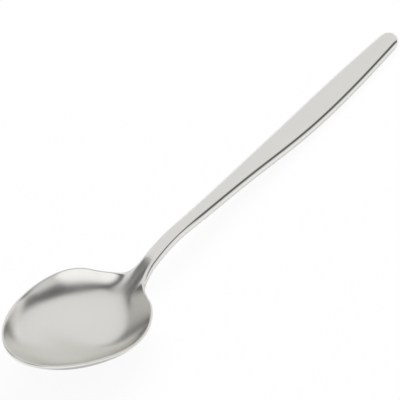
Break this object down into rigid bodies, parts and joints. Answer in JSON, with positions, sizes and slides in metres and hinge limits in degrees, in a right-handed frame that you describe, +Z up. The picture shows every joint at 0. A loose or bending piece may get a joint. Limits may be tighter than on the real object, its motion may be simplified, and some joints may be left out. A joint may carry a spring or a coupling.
{
  "type": "teaspoon",
  "caption": "Slender stainless-steel teaspoon with an egg-shaped bowl, an arched narrow neck and a thick rounded handle, for stirring and tasting.",
  "frame": {"origin": "on the table plane that the spoon lies on, halfway along its length and on its middle line", "axes": "+X from the bowl's tip to the handle's end, +Y across the spoon, +Z up out of the bowl"},
  "size_m": [0.145, 0.0296, 0.0149],
  "materials": {
    "bowl_steel": "satin, polished a little brighter inside the hollow",
    "neck_steel": "satin",
    "handle_steel": "fine satin, brushed along its length"
  },
  "bodies": {
    "root": {"bowl": "bowl_steel", "neck": "neck_steel", "handle": "handle_steel"}
  },
  "joints": []
}
